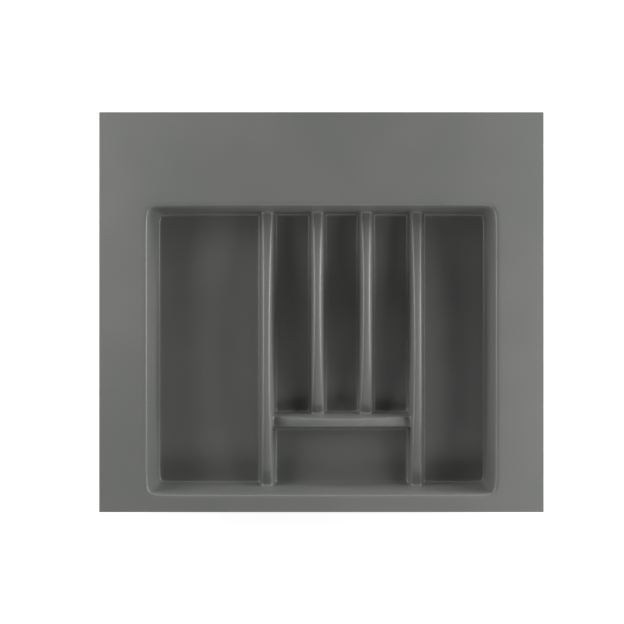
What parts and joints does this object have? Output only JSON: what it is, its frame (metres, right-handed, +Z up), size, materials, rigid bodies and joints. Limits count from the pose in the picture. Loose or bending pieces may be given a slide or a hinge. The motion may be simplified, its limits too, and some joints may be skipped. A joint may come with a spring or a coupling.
{
  "type": "cutlery tray",
  "caption": "Drawer insert formed from plastic sheet: a flat flange for trimming round a sunken basin, which arched ridges divide into long, narrow and short bays for cutlery.",
  "frame": {"origin": "below the middle of the flange, on the plane that the bay floors rest on", "axes": "+X to the right and +Y to the rear as the tray lies in its drawer, +Z up"},
  "size_m": [0.54, 0.486, 0.055],
  "materials": {
    "polystyrene_sheet": "matte"
  },
  "bodies": {
    "root": {"tray_shell": "polystyrene_sheet"}
  },
  "joints": []
}
